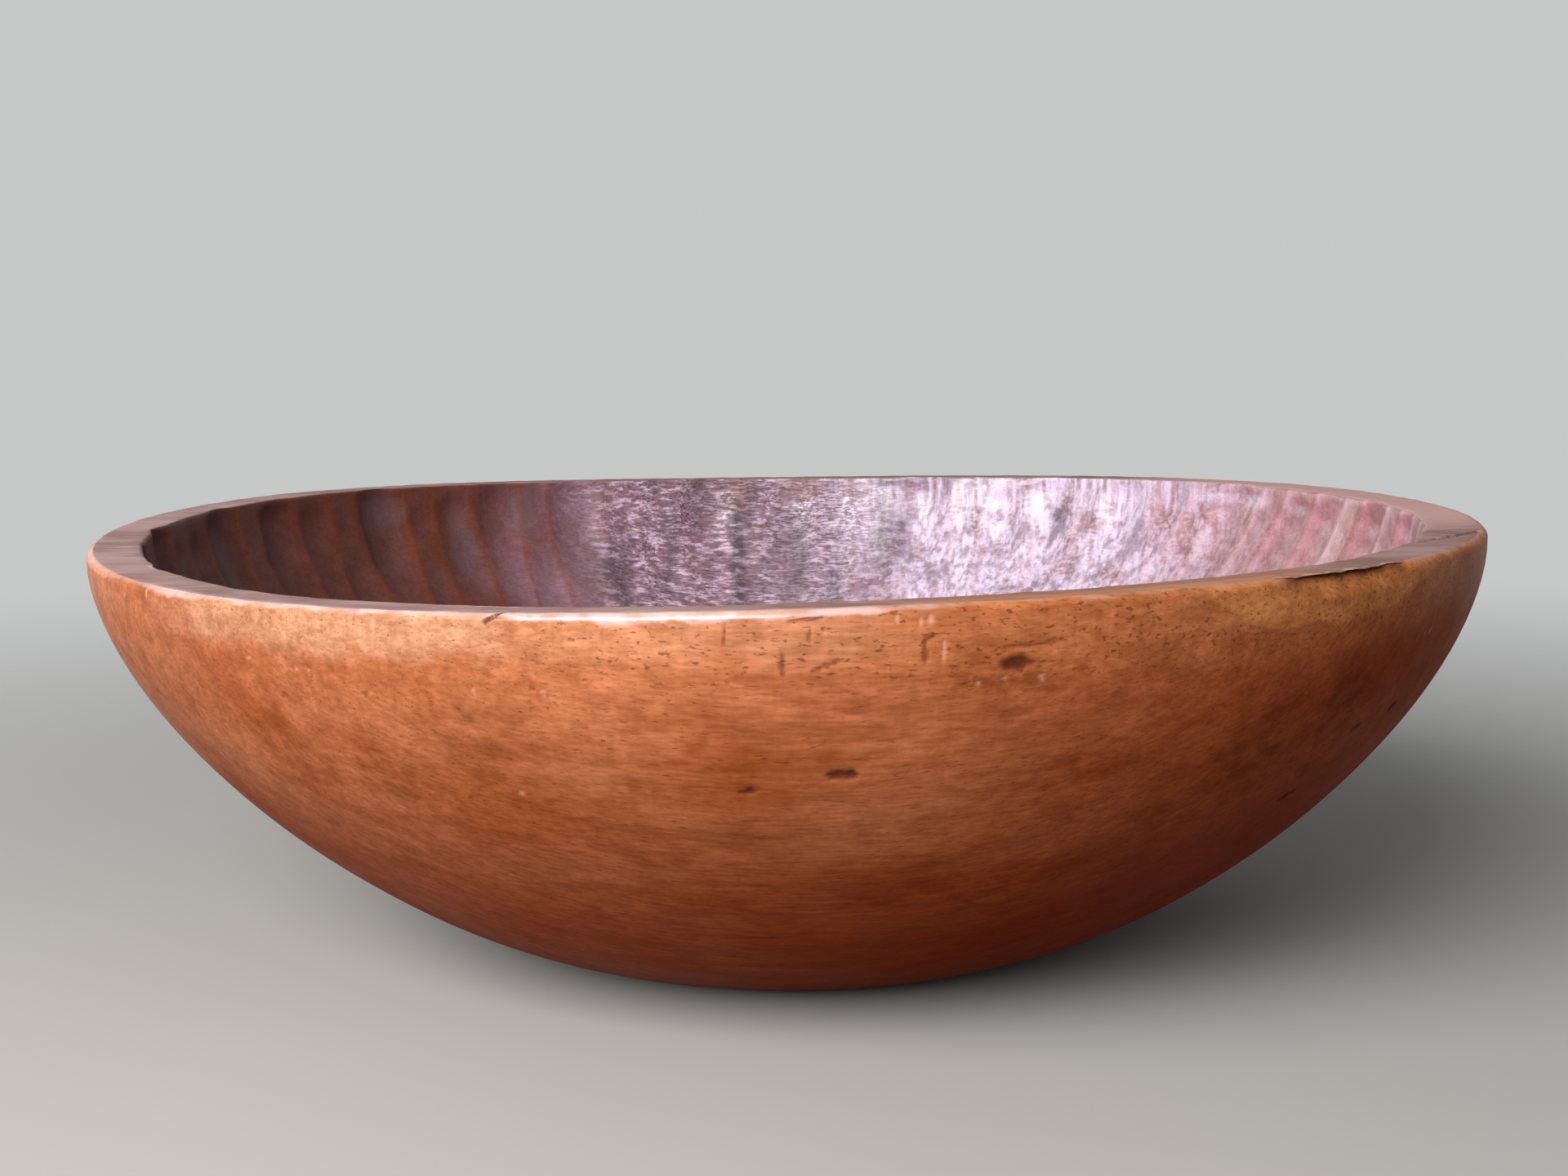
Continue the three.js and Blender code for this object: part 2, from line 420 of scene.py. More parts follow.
# %% Places of the marks
# Each mark: turn in degrees and height of the middle, half length, half height and slant in degrees, then
# the depth where it is more than that of a plain scratch
SCRATCH_DEPTH = 0.0002
CHIPS = {
    "front chip": (-87.0, 0.0987, 0.0050, 0.0020, 0, 0.0006),
    "front fleck": (-93.4, 0.0942, 0.0028, 0.0013, -10, 0.0004),
    "high chip": (-76.0, 0.1280, 0.0052, 0.0024, -8, 0.0006),
    "right chip": (-35.6, 0.0984, 0.0034, 0.0018, -20, 0.0006),
    "right fleck": (-41.1, 0.0956, 0.0026, 0.0015, -20, 0.0004),
    "low chip": (-44.4, 0.0751, 0.0044, 0.0017, -25, 0.0006),
    "edge nick": (-109.7, 0.1395, 0.0038, 0.0008, -38, 0.0009),
    "back chip": (101.0, 0.0900, 0.0048, 0.0021, 5, 0.0006),
    "back fleck": (63.0, 0.0620, 0.0030, 0.0015, -15, 0.0004),
}
SCRATCHES = {
    "front scratch": (-94.5, 0.1365, 0.0030, 0.0006, 95),
    "middle scratch": (-89.2, 0.1367, 0.0028, 0.0006, 95),
    "slanted scratch": (-88.2, 0.1287, 0.0070, 0.0009, -24),
    "upright scratch": (-82.0, 0.1320, 0.0044, 0.0008, 88),
    "short scratch": (-90.9, 0.1288, 0.0044, 0.0010, 88),
    "long split": (-75.4, 0.1327, 0.0105, 0.0007, -5, 0.0003),
    "edge split": (-89.5, 0.1403, 0.0056, 0.0007, -6, 0.0003),
    "far left speck": (-128.0, 0.1132, 0.0014, 0.0011, 0),
    "left speck": (-120.2, 0.1166, 0.0013, 0.0010, 0),
    "high left speck": (-107.2, 0.1214, 0.0013, 0.0010, 0),
    "back scratch": (82.0, 0.1210, 0.0080, 0.0008, 30),
}
FLECKS = {
    "first notch": (-83.8, 0.1405, 0.0018, 0.0008, 90),
    "second notch": (-82.3, 0.1396, 0.0024, 0.0010, 90),
    "third notch": (-81.7, 0.1405, 0.0020, 0.0012, 90),
    "pale scratch": (-80.8, 0.1319, 0.0054, 0.0007, 90),
    "fleck below chip": (-78.5, 0.1231, 0.0014, 0.0010, 40),
    "fleck under chip": (-76.8, 0.1243, 0.0012, 0.0008, 0),
    "fleck beside chip": (-74.3, 0.1240, 0.0016, 0.0010, 35),
    "left fleck": (-111.5, 0.1201, 0.0016, 0.0008, 35),
    "fleck by left": (-106.5, 0.1204, 0.0014, 0.0010, 20),
    "low left fleck": (-110.0, 0.0903, 0.0014, 0.0009, 0),
    "side fleck": (-35.9, 0.1222, 0.0020, 0.0009, -60),
    "side dash": (-36.8, 0.1219, 0.0018, 0.0008, 0),
    "far left notch": (-143.2, 0.1364, 0.0026, 0.0009, 90),
    "far left dash": (-130.5, 0.1224, 0.0026, 0.0007, 20),
    "far left fleck": (-125.9, 0.1217, 0.0012, 0.0008, 30),
    "next left fleck": (-124.8, 0.1216, 0.0015, 0.0008, 35),
    "pale run": (-118.6, 0.1352, 0.0032, 0.0010, 90),
    "back notch": (115.0, 0.1280, 0.0018, 0.0010, 60),
}
print(len(CHIPS), "chips,", len(SCRATCHES), "scratches and", len(FLECKS), "flecks are listed")

# %% [markdown]
# Some stains are only colour: dark smudges outside, with painted shadows among them, and in the hollow
# grey haze, painted shade in the valleys of some flutes, pale glints of painted highlight and bare tan
# spots. They too have places of their own, and are stored as values on the vertices for the finishes to
# read.

# %% Places of the stains and painted shade
# Smudges, with painted shadows and shade among them, all darkening through the same stored value
STAINS_AND_SHADES = {
    # turn in degrees and height of the middle, reach, strength
    "chip shadow": (-77.0, 0.127, 0.020, 0.5),
    "edge shadow": (-66.0, 0.138, 0.024, 0.5),
    "right smudge": (-46.0, 0.109, 0.022, 1.0),
    "right shadow": (-54.0, 0.096, 0.024, 0.7),
    "low right smudge": (-62.0, 0.066, 0.026, 0.25),
    "low front smudge": (-77.0, 0.050, 0.024, 0.2),
    "front shadow": (-72.0, 0.094, 0.016, 0.5),
    "left smudge": (-121.0, 0.088, 0.014, 0.5),
    "left shadow": (-112.0, 0.106, 0.018, 0.4),
    "far left shade": (-148.0, 0.112, 0.045, 0.3),
    "back smudge": (118.0, 0.100, 0.026, 0.8),
    "far smudge": (40.0, 0.080, 0.024, 0.7),
}
# Each spot in the hollow: turn in degrees and height of the middle, half width, half height, strength
HAZES = {
    "left haze": (131.0, 0.117, 0.0065, 0.0150, 0.5),
    "high left haze": (141.0, 0.132, 0.0120, 0.0080, 0.4),
    "middle haze": (122.5, 0.127, 0.0060, 0.0120, 0.4),
    "far haze": (168.0, 0.120, 0.0070, 0.0140, 0.4),
    "near haze": (-140.0, 0.122, 0.0080, 0.0140, 0.4),
}
# Painted shade in the valleys of some flutes
VALLEY_SHADE_SPOTS = {
    "low valley shade": (112.2, 0.100, 0.0065, 0.0140, 1.0),
    "thin valley shade": (104.4, 0.114, 0.0042, 0.0180, 0.9),
    "dark valley": (96.5, 0.108, 0.0044, 0.0250, 1.3),
    "blue valley": (92.9, 0.106, 0.0038, 0.0180, 0.55),
    "grey valley": (88.0, 0.110, 0.0045, 0.0200, 0.55),
    "wide valley shade": (78.0, 0.111, 0.0085, 0.0160, 0.9),
    "high valley shade": (78.0, 0.137, 0.0080, 0.0025, 1.2),
    "right valley shade": (58.0, 0.124, 0.0040, 0.0060, 0.8),
    "near valley shade": (-75.0, 0.110, 0.0070, 0.0130, 0.8),
    "near valley": (-101.0, 0.114, 0.0036, 0.0200, 1.0),
}
GLINTS = {
    "first glint": (37.4, 0.1365, 0.0115, 0.0032, 0.6),
    "second glint": (31.4, 0.1370, 0.0100, 0.0026, 0.6),
    "third glint": (24.0, 0.1355, 0.0080, 0.0024, 0.4),
    "fourth glint": (47.0, 0.1345, 0.0100, 0.0036, 0.6),
    "fifth glint": (-21.0, 0.1345, 0.0090, 0.0026, 0.5),
}
BARE_SPOTS = {
    "first bare spot": (95.8, 0.132, 0.0050, 0.0090, 0.7),
    "second bare spot": (88.5, 0.135, 0.0110, 0.0060, 0.6),
    "third bare spot": (13.5, 0.136, 0.0080, 0.0035, 0.5),
    "near bare spot": (-88.0, 0.133, 0.0100, 0.0070, 0.5),
}
HOLLOW_SPOTS = {"haze": HAZES, "valley": VALLEY_SHADE_SPOTS, "glint": GLINTS, "bare": BARE_SPOTS}
spots_listed = sum(len(spots) for spots in HOLLOW_SPOTS.values())
print(len(STAINS_AND_SHADES), "smudges outside and", spots_listed, "spots in the hollow are listed")

# %% [markdown]
# The faces at every mark are found by their middles before anything is dented, and all of their edges are
# split in one go, so that no mark meets a half-split neighbour.

# %% Find places on the walls
OUTSIDE_END = 0.2


def on_circle(degrees, radius, height):
    angle = math.radians(degrees)
    return Vector((radius * math.cos(angle), radius * math.sin(angle), height))


def finder_of(points):
    finder = kdtree.KDTree(len(points))
    for index, point in enumerate(points):
        finder.insert(point, index)
    finder.balance()
    return finder


outer_places = []
inner_places = []
for vertex in bowl_mesh.verts:
    place = (math.degrees(math.atan2(vertex.co.y, vertex.co.x)), vertex.co.copy())
    if vertex[hollow_layer] < OUTSIDE_END:
        outer_places.append(place)
    elif vertex[hollow_layer] == 1:
        inner_places.append(place)


def wall_place(degrees, height, places=outer_places):
    """The point of a wall, the outside one or another, that is nearest to this turn and height."""
    def miss(place):
        return math.hypot(math.radians(place[0] - degrees) * RIM_RADIUS, place[1].z - height)
    nearest = min(places, key=miss)[1]
    return on_circle(degrees, math.hypot(nearest.x, nearest.y), height)


print(len(outer_places), "points outside and", len(inner_places), "in the hollow can carry marks")

# %% Split the faces around the marks
CRACK_FROM = (-29.3, 0.2120)
CRACK_TO = (-18.8, 0.2265)
CRACK_STEPS = 16
TEAR_FROM = -59
TEAR_TO = -40
TEAR_REACH = 0.006
MARK_MARGIN = 0.003
MARK_CUTS = 4

crack_line = []
for step in range(CRACK_STEPS + 1):
    degrees = CRACK_FROM[0] + (CRACK_TO[0] - CRACK_FROM[0]) * step / CRACK_STEPS
    radius = CRACK_FROM[1] + (CRACK_TO[1] - CRACK_FROM[1]) * step / CRACK_STEPS
    height = HEIGHT + rim_lift(math.radians(degrees)) * radius / RIM_RADIUS
    crack_line.append(on_circle(degrees, radius, height))

split_places = [(place, 2 * MARK_MARGIN) for place in crack_line]
for degrees in range(TEAR_FROM, TEAR_TO + 1):
    split_places.append((wall_place(degrees, HEIGHT), TEAR_REACH))
for marks in (CHIPS, SCRATCHES, FLECKS):
    for degrees, height, half_length, *others in marks.values():
        split_places.append((wall_place(degrees, height), half_length + MARK_MARGIN))

bowl_mesh.faces.ensure_lookup_table()
middles = finder_of([face.calc_center_median() for face in bowl_mesh.faces])
edges = {}
for place, reach in split_places:
    for found in middles.find_range(place, reach):
        edges.update(dict.fromkeys(bowl_mesh.faces[found[1]].edges))
bmesh.ops.subdivide_edges(bowl_mesh, edges=list(edges), cuts=MARK_CUTS, use_grid_fill=True)
many_sided = [face for face in bowl_mesh.faces if len(face.verts) > 4]
bmesh.ops.triangulate(bowl_mesh, faces=many_sided, quad_method='BEAUTY', ngon_method='BEAUTY')
print("bowl now has", len(bowl_mesh.faces), "faces")

# %% [markdown]
# A chip is a shallow dent with a ragged edge, pushed in along the normal at its middle, and the other marks
# are narrower dents of the same kind. The outline of each mark is stored, so that its colour can follow.

# %% Cut the marks
RAGGED_WAVE = 0.0025
RAGGED_SHARE = 0.4
CRISP_EDGE = 0.4
SOFT_EDGE = 0.9
DENT_EDGE = 0.6
MARK_REACH = 1.6

chip_and_lip_shade_layer = new_layer("chip_and_lip_shade")
scratch_layer = new_layer("scratch")
fleck_layer = new_layer("fleck")
stain_and_shade_layer = new_layer("stain_and_shade")
spot_layers = [(new_layer(name), spots) for name, spots in HOLLOW_SPOTS.items()]
MARKS = ((chip_and_lip_shade_layer, CHIPS, CRISP_EDGE), (scratch_layer, SCRATCHES, CRISP_EDGE),
         (fleck_layer, FLECKS, SOFT_EDGE))

bowl_mesh.normal_update()
bowl_mesh.verts.ensure_lookup_table()
corners = finder_of([vertex.co for vertex in bowl_mesh.verts])


def raise_to(vertex, layer, value):
    vertex[layer] = max(vertex[layer], value)


def press(layer, edge, degrees, height, half_length, half_height, slant, depth=SCRATCH_DEPTH):
    """Dents the wood at one mark, and writes the outline of the mark into a layer."""
    middle = wall_place(degrees, height)
    inward = -bowl_mesh.verts[corners.find(middle)[1]].normal
    level = Vector((0, 0, 1)).cross(-inward).normalized()
    lengthways = Matrix.Rotation(math.radians(slant), 3, inward) @ level
    crossways = inward.cross(lengthways)
    for place, index, distance in corners.find_range(middle, MARK_REACH * half_length):
        vertex = bowl_mesh.verts[index]
        offset = place - middle
        off_middle = math.hypot(offset.dot(lengthways) / half_length, offset.dot(crossways) / half_height)
        share = 1 - off_middle + RAGGED_SHARE * noise.noise(place / RAGGED_WAVE)
        vertex.co = vertex.co + inward * depth * ease(share, 0, DENT_EDGE)
        raise_to(vertex, layer, ease(share, 0, edge))


for layer, marks, edge in MARKS:
    for values in marks.values():
        press(layer, edge, *values)
print(len(CHIPS), "chips,", len(SCRATCHES), "scratches and", len(FLECKS), "flecks are cut")

# %% Store the stains and painted shade
STAIN_CORE = 0.2
SPOT_WAVE = 0.005
SPOT_REACH = 1.5
SPOT_FADE = (-0.2, 0.5)

for degrees, height, reach, strength in STAINS_AND_SHADES.values():
    for place, index, distance in corners.find_range(wall_place(degrees, height), reach):
        stained = strength * (1 - ease(distance, STAIN_CORE * reach, reach))
        raise_to(bowl_mesh.verts[index], stain_and_shade_layer, stained)
for layer, spots in spot_layers:
    for degrees, height, half_width, half_height, strength in spots.values():
        middle = wall_place(degrees, height, inner_places)
        level = Vector((-middle.y, middle.x, 0)).normalized()
        for place, index, distance in corners.find_range(middle, SPOT_REACH * max(half_width, half_height)):
            offset = place - middle
            off_middle = math.hypot(offset.dot(level) / half_width, offset.z / half_height)
            share = 1 - off_middle + RAGGED_SHARE * noise.noise(place / SPOT_WAVE)
            raise_to(bowl_mesh.verts[index], layer, strength * ease(share, *SPOT_FADE))
print(len(STAINS_AND_SHADES) + spots_listed, "stains and spots are stored")

# %% [markdown]
# The crack is a groove along a line over the rim. At the torn lip a splinter has come away from under the
# edge, so the wood there is pushed in towards the middle of the bowl below a ragged line, and the rim
# overhangs it and shades it. That shade is painted in as well, as a dark strip stored under the lip.

# %% Cut the crack
CRACK_HALF_WIDTH = 0.0015
CRACK_DEPTH = 0.0022
CRACK_REACH = 0.004
CRACK_WOBBLE = 0.6
CRACK_EDGE = 0.5

for start, end in zip(crack_line, crack_line[1:]):
    for place, index, distance in corners.find_range((start + end) / 2, CRACK_REACH):
        vertex = bowl_mesh.verts[index]
        nearest = geometry.intersect_point_line(place.xy, start.xy, end.xy)
        wobble = CRACK_HALF_WIDTH * (1 + CRACK_WOBBLE * noise.noise(place / RAGGED_WAVE))
        share = 1 - (place.xy - nearest[0]).length / wobble
        if 0 <= nearest[1] <= 1 and share > 0 and vertex[hollow_layer] < 1:
            vertex.co.z = place.z - CRACK_DEPTH * share
            raise_to(vertex, scratch_layer, ease(share, 0, CRACK_EDGE))
print("crack is", round(1000 * CRACK_DEPTH, 1), "mm deep")

# %% Tear the lip
TEAR_FULL_FROM = -50
TEAR_FULL_TO = -48
TEAR_DEPTH = 0.0026
TEAR_LOW = -0.0045
RIM_MIDDLE = 0.5
TEAR_FULL = 0.0012
TEAR_LIP = 0.0036
LIP_EDGE = 0.0008
LIP_WANDER = 0.0010
LIP_SHADE = (-0.0042, -0.0014)
LIP_DARKNESS = 0.9
LIP_STEP = 1.5
FINE_STEP = 0.5
FINE_SHARE = 0.5
FINE_PLACE = 7
FULLY_TORN = (0.1, 0.4)
FRESH_WIDTH = (0.3 * LIP_EDGE, 1.4 * LIP_EDGE)
FRESH_PLACES = (-0.1, 0.2)

for vertex in bowl_mesh.verts:
    degrees = math.degrees(math.atan2(vertex.co.y, vertex.co.x))
    torn = ease(degrees, TEAR_FROM, TEAR_FULL_FROM) * (1 - ease(degrees, TEAR_FULL_TO, TEAR_TO))
    up_edge = vertex[hollow_layer] * (inner_edge - outer_edge) - vertex[down_layer]
    if torn == 0 or vertex[hollow_layer] > RIM_MIDDLE or up_edge < TEAR_LOW:
        continue
    fine = FINE_SHARE * noise.noise(Vector((degrees / FINE_STEP, FINE_PLACE, 0)))
    ragged = noise.noise(Vector((degrees / LIP_STEP, 0, 0))) + fine
    lip = TEAR_LIP + LIP_WANDER * ragged
    below_lip = 1 - ease(up_edge, lip - LIP_EDGE, lip)
    sunk = torn * below_lip * ease(up_edge, TEAR_LOW, TEAR_FULL)
    toward_middle = Vector((-vertex.co.x, -vertex.co.y, 0)).normalized()
    vertex.co = vertex.co + toward_middle * TEAR_DEPTH * sunk
    fully_torn = ease(torn, *FULLY_TORN)
    # Painted shadow: the strip under the overhanging lip is darkened through the chip layer, and the torn
    # stretch through the stain value
    under_lip = ease(up_edge, lip + LIP_SHADE[0], lip + LIP_SHADE[1])
    shaded = under_lip * (1 - ease(up_edge, lip, lip + LIP_EDGE))
    raise_to(vertex, chip_and_lip_shade_layer, LIP_DARKNESS * fully_torn * shaded)
    raise_to(vertex, stain_and_shade_layer, torn)
    fresh = 1 - ease(abs(up_edge - lip - LIP_EDGE), *FRESH_WIDTH)
    raise_to(vertex, fleck_layer, fully_torn * fresh * ease(ragged, *FRESH_PLACES))
print("torn lip is", round(1000 * TEAR_DEPTH, 1), "mm deep")

# %% [markdown]
# ## Masks for the finish
#
# The finishes need to know where they are: how far up the rounded edge, where the strokes tore the grain,
# where shade is painted on the outside, low down and on the side away from the light, where the hollow
# has bleached, with painted sheen there too, and where light and shade are painted across the hollow.
# The gouge cuts cleanly into the end grain at the two ends of the bowl, but across the back and the front
# it crosses the fibres and pulls them up.
# On the floor the sides meet, so there every value drifts to one of its own and the borders wander.
# These values are stored on the vertices, and the materials read them by name.

# %% Store the masks
# Each side: its turn in degrees, and the cosines of the turn away from it between which it fades in
PLAIN_SIDES = {
    # the first two lie on the left front, where the light falls, and the edge is painted paler there as
    # painted highlight
    "highlit_edge": (-113, 0.82, 0.93),
    "sunny_edge": (-123, 0.95, 0.985),
    "warm_rim": (-67, 0.94, 0.985),
}
FRONT_GRAIN = (-65, 0.55, 0.85)
BACK_GRAIN = (115, 0.55, 0.85)
PINK_AND_LIT_END = (25, -0.5, 0.9)
ROSE_END = (18, 0.78, 0.95)
WAXED_SIDE = (52, 0.25, 0.9)
SHADED_SIDE = (-25, 0.3, 1.0)

# Turns in degrees, and the shares and reaches that go with them
BLOOM_AND_SHEEN_SIDE = 62
BLOOM_AND_SHEEN_FULL = 5
BLOOM_AND_SHEEN_WIDTH = 38
BLOOM_AND_SHEEN_TAIL = 0.92
TORN_SIDE = 97
TORN_FULL = 10
TORN_FADE = 23
NEAR_TORN = 0.35
NEAR_FADE = 45
BAND_BEGINS = (-66, -56)
BAND_ENDS = (-48, -32)
BAND_REACH = 0.0105
BAND_MARGIN = 0.003

# Distances below the rim, or heights, between which something fades
BLOOM_AND_SHEEN_FADE = (0.055, 0.110)
OPEN_GRAIN_FADE = (0.010, 0.026)
SHADE_START = (0.006, 0.025)
LOW_WALL = (0.015, 0.115)

FLOOR_EDGE = 0.06
WALL_FOOT = 0.165
FLOOR_PINK_AND_LIGHT = 0.12
FLOOR_WAX = 0.3
LEAST_WAX = 0.1
SHADE_SHARE = 0.8
SHADE_OVERLAP = 0.3
BORDER_WANDER = 0.4
BORDER_WAVE = 0.05

up_layer = new_layer("up_edge")
band_layer = new_layer("bare_band")
torn_layer = new_layer("torn_grain")
open_layer = new_layer("open_grain")
bloom_and_sheen_layer = new_layer("bloom_and_sheen")
pink_and_light_layer = new_layer("pink_and_light")
rose_layer = new_layer("rose")
wax_layer = new_layer("wax")
painted_shade_layer = new_layer("painted_shade")
side_layers = [(new_layer(name), side) for name, side in PLAIN_SIDES.items()]


def facing(turn, side, low, high):
    """One on the given side of the bowl, zero away from it."""
    return ease(math.cos(turn - math.radians(side)), low, high)


for vertex in bowl_mesh.verts:
    on_wall = ease(math.hypot(vertex.co.x, vertex.co.y), FLOOR_EDGE, WALL_FOOT)
    turn = math.atan2(vertex.co.y, vertex.co.x)
    turn += (1 - on_wall) * BORDER_WANDER * noise.noise(vertex.co / BORDER_WAVE)
    degrees = math.degrees(turn)
    down = vertex[down_layer]
    vertex[up_layer] = vertex[hollow_layer] * (inner_edge - outer_edge) - down
    for layer, side in side_layers:
        vertex[layer] = facing(turn, *side)
    in_band = ease(degrees, *BAND_BEGINS) * (1 - ease(degrees, *BAND_ENDS))
    vertex[band_layer] = BAND_REACH * in_band - BAND_MARGIN * (1 - in_band) - down
    far_torn = 1 - ease(abs(degrees - TORN_SIDE), TORN_FULL, TORN_FADE)
    near_torn = 1 - ease(abs(degrees + TORN_SIDE), TORN_FULL, NEAR_FADE)
    vertex[torn_layer] = on_wall * max(far_torn, NEAR_TORN * near_torn)
    front_grain = facing(turn, *FRONT_GRAIN)
    back_grain = facing(turn, *BACK_GRAIN)
    vertex[open_layer] = max(front_grain, back_grain) * (1 - ease(down, *OPEN_GRAIN_FADE))
    # The bloom value also marks where the far wall shines in the light, so its pale lilac is partly painted
    # sheen
    off_bloom_and_sheen = max(degrees - BLOOM_AND_SHEEN_SIDE, BLOOM_AND_SHEEN_TAIL * (BLOOM_AND_SHEEN_SIDE - degrees))
    vertex[bloom_and_sheen_layer] = (1 - ease(off_bloom_and_sheen, BLOOM_AND_SHEEN_FULL, BLOOM_AND_SHEEN_WIDTH)) * (1 - ease(down, *BLOOM_AND_SHEEN_FADE))
    # The pink value runs from the wall facing away from the light to the lit walls, so it paints light and
    # shade as well as colour
    vertex[pink_and_light_layer] = FLOOR_PINK_AND_LIGHT + on_wall * (facing(turn, *PINK_AND_LIT_END) - FLOOR_PINK_AND_LIGHT)
    vertex[rose_layer] = on_wall * facing(turn, *ROSE_END)
    wall_wax = LEAST_WAX + (1 - LEAST_WAX) * facing(turn, *WAXED_SIDE)
    vertex[wax_layer] = FLOOR_WAX + on_wall * (wall_wax - FLOOR_WAX)
    # Painted shade: the outside is darker and redder low down and on the side away from the light
    low = 1 - ease(vertex.co.z, *LOW_WALL)
    shaded = facing(turn, *SHADED_SIDE) * ease(down, *SHADE_START)
    vertex[painted_shade_layer] = max(low, shaded * SHADE_SHARE, low + shaded - SHADE_OVERLAP)
print("masks are stored on", len(bowl_mesh.verts), "vertices")

# %% Turn it into a mesh
carved_data = bpy.data.meshes.new("carved_bowl")
bowl_mesh.to_mesh(carved_data)
bowl_mesh.free()
carved_data.polygons.foreach_set("use_smooth", [True] * len(carved_data.polygons))
carved_bowl = linked("carved_bowl", carved_data)
carved_data.calc_loop_triangles()
print("carved bowl has", len(carved_data.loop_triangles), "triangles")

# %% [markdown]
# ## Tools for the wood
#
# Wood is a solid pattern: fibres run along X through the whole block, so the same texture shows long
# dashes on the front and back and dots at the two ends. Every pattern here is therefore a noise on
# Object coordinates that a Mapping node squeezes across the grain. A few short helpers keep the node
# trees readable. Each adds its node to `tree`, the tree of the finish in hand.

# %% Helpers for patterns


def srgb(red, green, blue):
    """A colour as seen on screen, from 0 to 255, as the linear values that shaders take."""
    linear = []
    for channel in (red, green, blue):
        value = channel / 255
        linear.append(value / 12.92 if value <= 0.04045 else ((value + 0.055) / 1.055) ** 2.4)
    return (*linear, 1.0)


def new_finish(name):
    material = bpy.data.materials.new(name)
    material.use_nodes = True
    return material, material.node_tree, material.node_tree.nodes['Principled BSDF']


def fill(node, values):
    """Fills the inputs of a node: outputs of other nodes are linked, and constants are set."""
    for name, value in values.items():
        if isinstance(value, bpy.types.NodeSocket):
            tree.links.new(value, node.inputs[name])
        else:
            node.inputs[name].default_value = value


def wood_noise(stretch, detail=4, roughness=0.5, distortion=0.0):
    """Noise in the block of wood, with this many waves to the metre along X, Y and Z."""
    place = tree.nodes.new('ShaderNodeTexCoord')
    mapping = tree.nodes.new('ShaderNodeMapping')
    fill(mapping, {'Scale': stretch, 'Vector': place.outputs['Object']})
    texture = tree.nodes.new('ShaderNodeTexNoise')
    fill(texture, {'Scale': 1.0, 'Detail': detail, 'Roughness': roughness, 'Distortion': distortion,
                   'Vector': mapping.outputs['Vector']})
    return texture.outputs['Fac']


def stored(name):
    attribute = tree.nodes.new('ShaderNodeAttribute')
    attribute.attribute_name = name
    return attribute.outputs['Fac']


def spread(value, low, high, to_low=0.0, to_high=1.0):
    """Maps a value between two limits onto a new range, softly and without overshoot."""
    node = tree.nodes.new('ShaderNodeMapRange')
    node.interpolation_type = 'SMOOTHSTEP'
    fill(node, {'Value': value, 'From Min': low, 'From Max': high, 'To Min': to_low, 'To Max': to_high})
    return node.outputs['Result']


def shared(mask, to_low, to_high):
    """Maps a stored mask, which runs from zero to one, onto a new range."""
    return spread(mask, 0.0, 1.0, to_low, to_high)


print("pattern helpers are ready")

# %% Helpers for colours


def maths(operation, first, second):
    node = tree.nodes.new('ShaderNodeMath')
    node.operation = operation
    fill(node, {0: first, 1: second})
    return node.outputs['Value']


def times(first, second):
    return maths('MULTIPLY', first, second)


def plus(first, second):
    return maths('ADD', first, second)


def larger(first, second):
    return maths('MAXIMUM', first, second)


def blend(factor, first, second, mode='MIX'):
    node = tree.nodes.new('ShaderNodeMix')
    node.data_type = 'RGBA'
    node.blend_type = mode
    fill(node, {'Factor': factor, 'A': first, 'B': second})
    return node.outputs['Result']


SHADE = (0.74, 0.66, 0.56, 1.0)
GLOW = (1.16, 1.20, 1.26, 1.0)


def toned(colour, pattern, low, high, strength):
    """Deepens a colour where a pattern is low, and lightens it where the pattern is high."""
    return blend(strength, colour, blend(spread(pattern, low, high), SHADE, GLOW), 'MULTIPLY')


def tinted(colour, layer, strength, tint):
    """Blends a tint into a colour as far as a stored layer and a strength say."""
    return blend(times(stored(layer), strength), colour, tint)


def raised(height, strength, distance, below=None):
    """A normal for the relief of a pattern, on top of another relief where one is given."""
    bump = tree.nodes.new('ShaderNodeBump')
    fill(bump, {'Height': height, 'Strength': strength, 'Distance': distance})
    if below is not None:
        fill(bump, {'Normal': below})
    return bump.outputs['Normal']


print("colour helpers are ready")

# %% [markdown]
# ## The polished outside
#
# Outside, the wood was scraped smooth and has a thin old lacquer that has turned orange. Up close it is
# full of short soft fibres and dark pores, with slow clouds of redder and paler wood and faint upright
# scrapes. Each is a noise of its own stretch, and most of them multiply the colour rather than cover it,
# so the deep parts stay deep. Shade is painted in too: the wall is darker and redder low down and on the
# side away from the light. A paler band under the rim, where the lacquer has worn thin, and golden wood
# with open pores high on the front and back follow stored masks; on the left front, where the light
# falls, the band and the worn rounded edge are painted paler still, as a painted highlight. Hands have
# polished the rounded edge, so a clear coat lies there and thins out below.

# %% Patterns of the outside
LACQUER = srgb(194, 116, 76)
LACQUER_RED = srgb(162, 80, 36)
LACQUER_SHADE = srgb(150, 51, 3)
WORN_TAN_AND_HIGHLIGHT = srgb(208, 152, 116)
BAND_TAN = srgb(208, 138, 78)
OPEN_GOLD = srgb(160, 88, 38)
STAIN_AND_SHADE = srgb(84, 36, 18)
PORE = srgb(92, 38, 16)
CHIP_AND_LIP_SHADE = srgb(84, 36, 24)
FLECK = srgb(232, 180, 146)
EDGE_BARE_AND_HIGHLIGHT = srgb(220, 182, 176)
EDGE_TAN = srgb(190, 136, 108)

